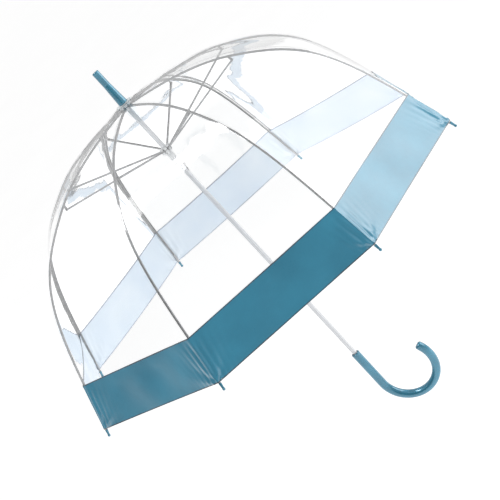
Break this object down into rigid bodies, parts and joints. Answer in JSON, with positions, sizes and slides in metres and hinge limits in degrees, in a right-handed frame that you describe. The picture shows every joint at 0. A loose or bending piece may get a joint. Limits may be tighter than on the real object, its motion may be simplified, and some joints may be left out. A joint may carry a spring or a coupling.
{
  "type": "children's dome umbrella",
  "caption": "Open children's umbrella with a clear dome canopy, a teal trim band, fluted ribs, a slim straight shaft and a teal crook handle.",
  "frame": {"origin": "on the shaft's axis at the middle of the handle's straight grip", "axes": "+Z along the shaft towards the ferrule; +X towards the side that the crook opens to, in the plane of the crook and of rib 0"},
  "size_m": [0.6842, 0.6842, 0.671],
  "materials": {
    "teal_plastic": "glossy",
    "white_plastic": "satin",
    "clear_plastic": "glossy",
    "white_steel": "glossy",
    "wire_steel": "polished",
    "spring_steel": "satin",
    "rib_steel": "satin",
    "clear_film": "glossy",
    "teal_film": "glossy"
  },
  "bodies": {
    "stick": {"shaft": "white_steel", "ferrule": "teal_plastic", "top_washer": "clear_plastic", "crown": "white_plastic", "crown_wire": "wire_steel", "handle": "teal_plastic", "crook_cap": "teal_plastic", "catch_pins": "wire_steel"},
    "runner_body": {"runner": "white_plastic", "runner_wire": "wire_steel"},
    "inner_rib_0": {"rib_upper_0": "rib_steel"},
    "inner_rib_1": {"rib_upper_1": "rib_steel"},
    "inner_rib_2": {"rib_upper_2": "rib_steel"},
    "inner_rib_3": {"rib_upper_3": "rib_steel"},
    "inner_rib_4": {"rib_upper_4": "rib_steel"},
    "inner_rib_5": {"rib_upper_5": "rib_steel"},
    "inner_rib_6": {"rib_upper_6": "rib_steel"},
    "inner_rib_7": {"rib_upper_7": "rib_steel"},
    "outer_rib_0": {"rib_lower_0": "rib_steel", "rib_tip_0": "teal_plastic", "canopy_0": "clear_film", "band_0": "teal_film"},
    "outer_rib_1": {"rib_lower_1": "rib_steel", "rib_tip_1": "teal_plastic", "canopy_1": "clear_film", "band_1": "teal_film"},
    "outer_rib_2": {"rib_lower_2": "rib_steel", "rib_tip_2": "teal_plastic", "canopy_2": "clear_film", "band_2": "teal_film"},
    "outer_rib_3": {"rib_lower_3": "rib_steel", "rib_tip_3": "teal_plastic", "canopy_3": "clear_film", "band_3": "teal_film"},
    "outer_rib_4": {"rib_lower_4": "rib_steel", "rib_tip_4": "teal_plastic", "canopy_4": "clear_film", "band_4": "teal_film"},
    "outer_rib_5": {"rib_lower_5": "rib_steel", "rib_tip_5": "teal_plastic", "canopy_5": "clear_film", "band_5": "teal_film"},
    "outer_rib_6": {"rib_lower_6": "rib_steel", "rib_tip_6": "teal_plastic", "canopy_6": "clear_film", "band_6": "teal_film"},
    "outer_rib_7": {"rib_lower_7": "rib_steel", "rib_tip_7": "teal_plastic", "canopy_7": "clear_film", "band_7": "teal_film"},
    "strut_0": {"stretcher_0": "rib_steel"},
    "strut_1": {"stretcher_1": "rib_steel"},
    "strut_2": {"stretcher_2": "rib_steel"},
    "strut_3": {"stretcher_3": "rib_steel"},
    "strut_4": {"stretcher_4": "rib_steel"},
    "strut_5": {"stretcher_5": "rib_steel"},
    "strut_6": {"stretcher_6": "rib_steel"},
    "strut_7": {"stretcher_7": "rib_steel"},
    "upper_spring": {"top_catch": "spring_steel"},
    "lower_spring": {"bottom_catch": "spring_steel"}
  },
  "joints": [
    {"name": "runner_slide", "type": "slide", "parent": "stick", "child": "runner_body", "axis": [0, 0, -1], "range_m": [0, 0.24138], "deforming": ["canopy_0", "canopy_1", "canopy_2", "canopy_3", "canopy_4", "canopy_5", "canopy_6", "canopy_7", "band_0", "band_1", "band_2", "band_3", "band_4", "band_5", "band_6", "band_7", "top_catch", "bottom_catch"]},
    {"name": "rib_fold_0", "type": "hinge", "parent": "stick", "child": "inner_rib_0", "pos_m": [0.0072, 0, 0.524], "axis": [0, 1, 0], "range_deg": [0, 73.91]},
    {"name": "rib_fold_1", "type": "hinge", "parent": "stick", "child": "inner_rib_1", "pos_m": [0.00509, 0.00509, 0.524], "axis": [-0.7071, 0.7071, 0], "range_deg": [0, 73.91]},
    {"name": "rib_fold_2", "type": "hinge", "parent": "stick", "child": "inner_rib_2", "pos_m": [0, 0.0072, 0.524], "axis": [-1, 0, 0], "range_deg": [0, 73.91]},
    {"name": "rib_fold_3", "type": "hinge", "parent": "stick", "child": "inner_rib_3", "pos_m": [-0.00509, 0.00509, 0.524], "axis": [-0.7071, -0.7071, 0], "range_deg": [0, 73.91]},
    {"name": "rib_fold_4", "type": "hinge", "parent": "stick", "child": "inner_rib_4", "pos_m": [-0.0072, 0, 0.524], "axis": [0, -1, 0], "range_deg": [0, 73.91]},
    {"name": "rib_fold_5", "type": "hinge", "parent": "stick", "child": "inner_rib_5", "pos_m": [-0.00509, -0.00509, 0.524], "axis": [0.7071, -0.7071, 0], "range_deg": [0, 73.91]},
    {"name": "rib_fold_6", "type": "hinge", "parent": "stick", "child": "inner_rib_6", "pos_m": [0, -0.0072, 0.524], "axis": [1, 0, 0], "range_deg": [0, 73.91]},
    {"name": "rib_fold_7", "type": "hinge", "parent": "stick", "child": "inner_rib_7", "pos_m": [0.00509, -0.00509, 0.524], "axis": [0.7071, 0.7071, 0], "range_deg": [0, 73.91]},
    {"name": "rib_bend_0", "type": "hinge", "parent": "inner_rib_0", "child": "outer_rib_0", "pos_m": [0.167, 0, 0.489], "axis": [0, -1, 0], "range_deg": [0, 39.72]},
    {"name": "rib_bend_1", "type": "hinge", "parent": "inner_rib_1", "child": "outer_rib_1", "pos_m": [0.11809, 0.11809, 0.489], "axis": [0.7071, -0.7071, 0], "range_deg": [0, 39.72]},
    {"name": "rib_bend_2", "type": "hinge", "parent": "inner_rib_2", "child": "outer_rib_2", "pos_m": [0, 0.167, 0.489], "axis": [1, 0, 0], "range_deg": [0, 39.72]},
    {"name": "rib_bend_3", "type": "hinge", "parent": "inner_rib_3", "child": "outer_rib_3", "pos_m": [-0.11809, 0.11809, 0.489], "axis": [0.7071, 0.7071, 0], "range_deg": [0, 39.72]},
    {"name": "rib_bend_4", "type": "hinge", "parent": "inner_rib_4", "child": "outer_rib_4", "pos_m": [-0.167, 0, 0.489], "axis": [0, 1, 0], "range_deg": [0, 39.72]},
    {"name": "rib_bend_5", "type": "hinge", "parent": "inner_rib_5", "child": "outer_rib_5", "pos_m": [-0.11809, -0.11809, 0.489], "axis": [-0.7071, 0.7071, 0], "range_deg": [0, 39.72]},
    {"name": "rib_bend_6", "type": "hinge", "parent": "inner_rib_6", "child": "outer_rib_6", "pos_m": [0, -0.167, 0.489], "axis": [-1, 0, 0], "range_deg": [0, 39.72]},
    {"name": "rib_bend_7", "type": "hinge", "parent": "inner_rib_7", "child": "outer_rib_7", "pos_m": [0.11809, -0.11809, 0.489], "axis": [-0.7071, -0.7071, 0], "range_deg": [0, 39.72]},
    {"name": "stretcher_swing_0", "type": "hinge", "parent": "inner_rib_0", "child": "strut_0", "pos_m": [0.163, 0, 0.484], "axis": [0, -1, 0], "range_deg": [0, 147.31]},
    {"name": "stretcher_swing_1", "type": "hinge", "parent": "inner_rib_1", "child": "strut_1", "pos_m": [0.11526, 0.11526, 0.484], "axis": [0.7071, -0.7071, 0], "range_deg": [0, 147.31]},
    {"name": "stretcher_swing_2", "type": "hinge", "parent": "inner_rib_2", "child": "strut_2", "pos_m": [0, 0.163, 0.484], "axis": [1, 0, 0], "range_deg": [0, 147.31]},
    {"name": "stretcher_swing_3", "type": "hinge", "parent": "inner_rib_3", "child": "strut_3", "pos_m": [-0.11526, 0.11526, 0.484], "axis": [0.7071, 0.7071, 0], "range_deg": [0, 147.31]},
    {"name": "stretcher_swing_4", "type": "hinge", "parent": "inner_rib_4", "child": "strut_4", "pos_m": [-0.163, 0, 0.484], "axis": [0, 1, 0], "range_deg": [0, 147.31]},
    {"name": "stretcher_swing_5", "type": "hinge", "parent": "inner_rib_5", "child": "strut_5", "pos_m": [-0.11526, -0.11526, 0.484], "axis": [-0.7071, 0.7071, 0], "range_deg": [0, 147.31]},
    {"name": "stretcher_swing_6", "type": "hinge", "parent": "inner_rib_6", "child": "strut_6", "pos_m": [0, -0.163, 0.484], "axis": [-1, 0, 0], "range_deg": [0, 147.31]},
    {"name": "stretcher_swing_7", "type": "hinge", "parent": "inner_rib_7", "child": "strut_7", "pos_m": [0.11526, -0.11526, 0.484], "axis": [-0.7071, -0.7071, 0], "range_deg": [0, 147.31]},
    {"name": "top_catch_press", "type": "hinge", "parent": "stick", "child": "upper_spring", "pos_m": [-0.00055, -0.00023, 0.3907], "axis": [0.3827, -0.9239, 0], "range_deg": [0, 10.5], "stiffness_Nm_per_rad": 0.05, "springref_deg": -17.19},
    {"name": "bottom_catch_press", "type": "hinge", "parent": "stick", "child": "lower_spring", "pos_m": [-0.00055, -0.00023, 0.19992], "axis": [-0.3827, 0.9239, 0], "range_deg": [0, 10.5], "stiffness_Nm_per_rad": 0.05, "springref_deg": -17.19}
  ],
  "couplings": [
    {"joint": "rib_fold_0", "follows": "runner_slide", "rad_per_m": 5.3428},
    {"joint": "rib_fold_1", "follows": "runner_slide", "rad_per_m": 5.3428},
    {"joint": "rib_fold_2", "follows": "runner_slide", "rad_per_m": 5.3428},
    {"joint": "rib_fold_3", "follows": "runner_slide", "rad_per_m": 5.3428},
    {"joint": "rib_fold_4", "follows": "runner_slide", "rad_per_m": 5.3428},
    {"joint": "rib_fold_5", "follows": "runner_slide", "rad_per_m": 5.3428},
    {"joint": "rib_fold_6", "follows": "runner_slide", "rad_per_m": 5.3428},
    {"joint": "rib_fold_7", "follows": "runner_slide", "rad_per_m": 5.3428},
    {"joint": "rib_bend_0", "follows": "runner_slide", "rad_per_m": 2.8704},
    {"joint": "rib_bend_1", "follows": "runner_slide", "rad_per_m": 2.8704},
    {"joint": "rib_bend_2", "follows": "runner_slide", "rad_per_m": 2.8704},
    {"joint": "rib_bend_3", "follows": "runner_slide", "rad_per_m": 2.8704},
    {"joint": "rib_bend_4", "follows": "runner_slide", "rad_per_m": 2.8704},
    {"joint": "rib_bend_5", "follows": "runner_slide", "rad_per_m": 2.8704},
    {"joint": "rib_bend_6", "follows": "runner_slide", "rad_per_m": 2.8704},
    {"joint": "rib_bend_7", "follows": "runner_slide", "rad_per_m": 2.8704},
    {"joint": "stretcher_swing_0", "follows": "runner_slide", "rad_per_m": 10.65},
    {"joint": "stretcher_swing_1", "follows": "runner_slide", "rad_per_m": 10.65},
    {"joint": "stretcher_swing_2", "follows": "runner_slide", "rad_per_m": 10.65},
    {"joint": "stretcher_swing_3", "follows": "runner_slide", "rad_per_m": 10.65},
    {"joint": "stretcher_swing_4", "follows": "runner_slide", "rad_per_m": 10.65},
    {"joint": "stretcher_swing_5", "follows": "runner_slide", "rad_per_m": 10.65},
    {"joint": "stretcher_swing_6", "follows": "runner_slide", "rad_per_m": 10.65},
    {"joint": "stretcher_swing_7", "follows": "runner_slide", "rad_per_m": 10.65}
  ]
}
